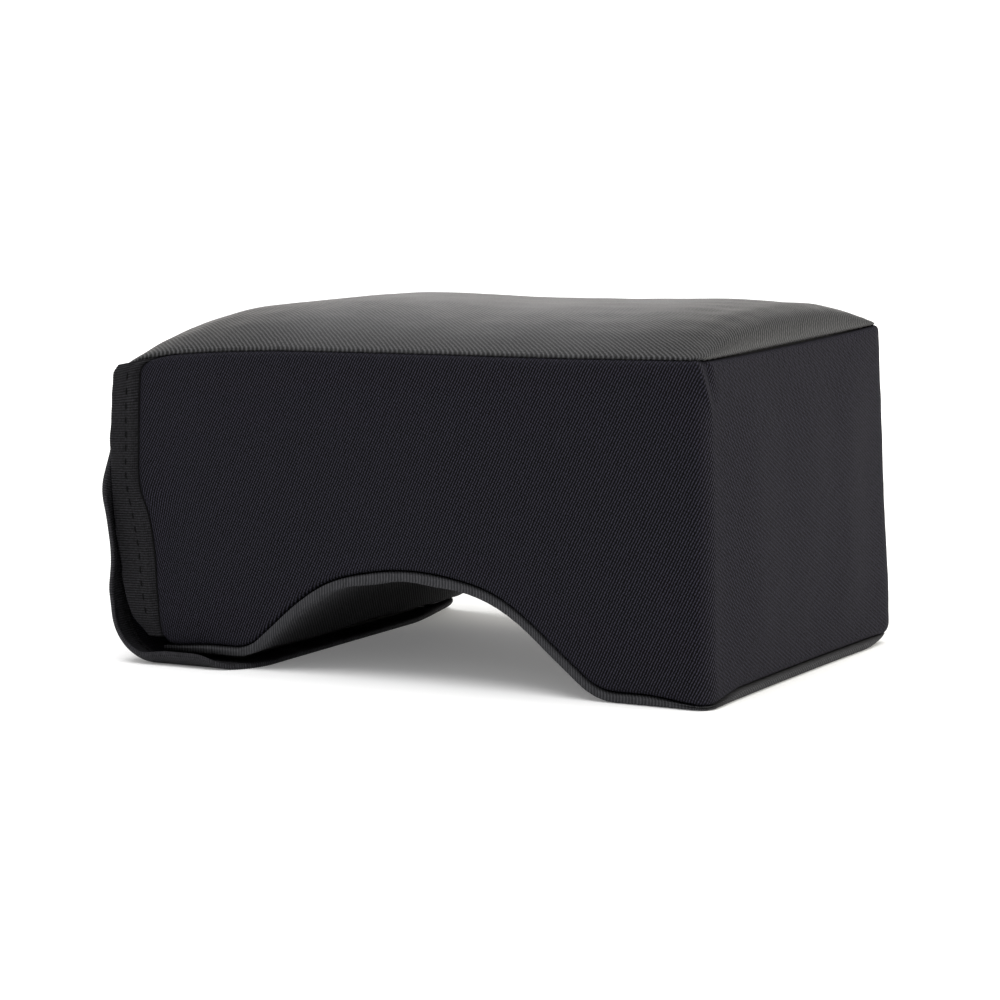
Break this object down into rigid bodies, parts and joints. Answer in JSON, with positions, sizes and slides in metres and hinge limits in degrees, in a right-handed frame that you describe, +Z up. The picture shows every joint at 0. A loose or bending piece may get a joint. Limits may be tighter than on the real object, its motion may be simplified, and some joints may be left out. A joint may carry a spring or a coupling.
{
  "type": "face cradle cushion",
  "caption": "Block foam cushion with an arched underside, in a woven cover that an end flap closes under one leg.",
  "frame": {"origin": "middle of the footprint, on the surface that the cushion stands on", "axes": "+X along the cushion away from the end flap, +Y from the front to the back through the arch, +Z up"},
  "size_m": [0.2788, 0.181, 0.149],
  "materials": {
    "foam": "open-cell foam, matte",
    "liner_knit": "fine knit, matte",
    "top_cloth": "fine twill, matte with a soft sheen at grazing angles",
    "side_cloth": "fine twill, matte",
    "bottom_cloth": "fine twill, matte",
    "flap_cloth": "fine twill, matte",
    "tape": "ribbed grosgrain tape, matte",
    "thread": "polyester thread, slight sheen",
    "hook_tape": "hook tape, matte",
    "loop_pile": "loop pile, matte"
  },
  "bodies": {
    "cushion": {"foam_block": "foam", "foam_liner": "liner_knit", "top_panel": "top_cloth", "side_band": "side_cloth", "arch_panel": "bottom_cloth", "front_binding": "tape", "back_binding": "tape", "front_stitches": "thread", "back_stitches": "thread", "sill_binding": "tape", "loop_strip": "loop_pile"},
    "end_flap": {"flap_panel": "flap_cloth", "flap_front_tape": "tape", "flap_back_tape": "tape"},
    "flap_tongue": {"tongue_panel": "flap_cloth", "tongue_binding": "tape", "hook_strip": "hook_tape"}
  },
  "joints": [
    {"name": "flap_hinge", "type": "hinge", "parent": "cushion", "child": "end_flap", "pos_m": [-0.1394, 0, 0.12], "axis": [0, 1, 0], "range_deg": [0, 150]},
    {"name": "tongue_fold", "type": "hinge", "parent": "end_flap", "child": "flap_tongue", "pos_m": [-0.1174, 0, 0], "axis": [0, 1, 0], "range_deg": [0, 76]}
  ],
  "couplings": [
    {"joint": "tongue_fold", "follows": "flap_hinge", "ratio": 0.5}
  ]
}
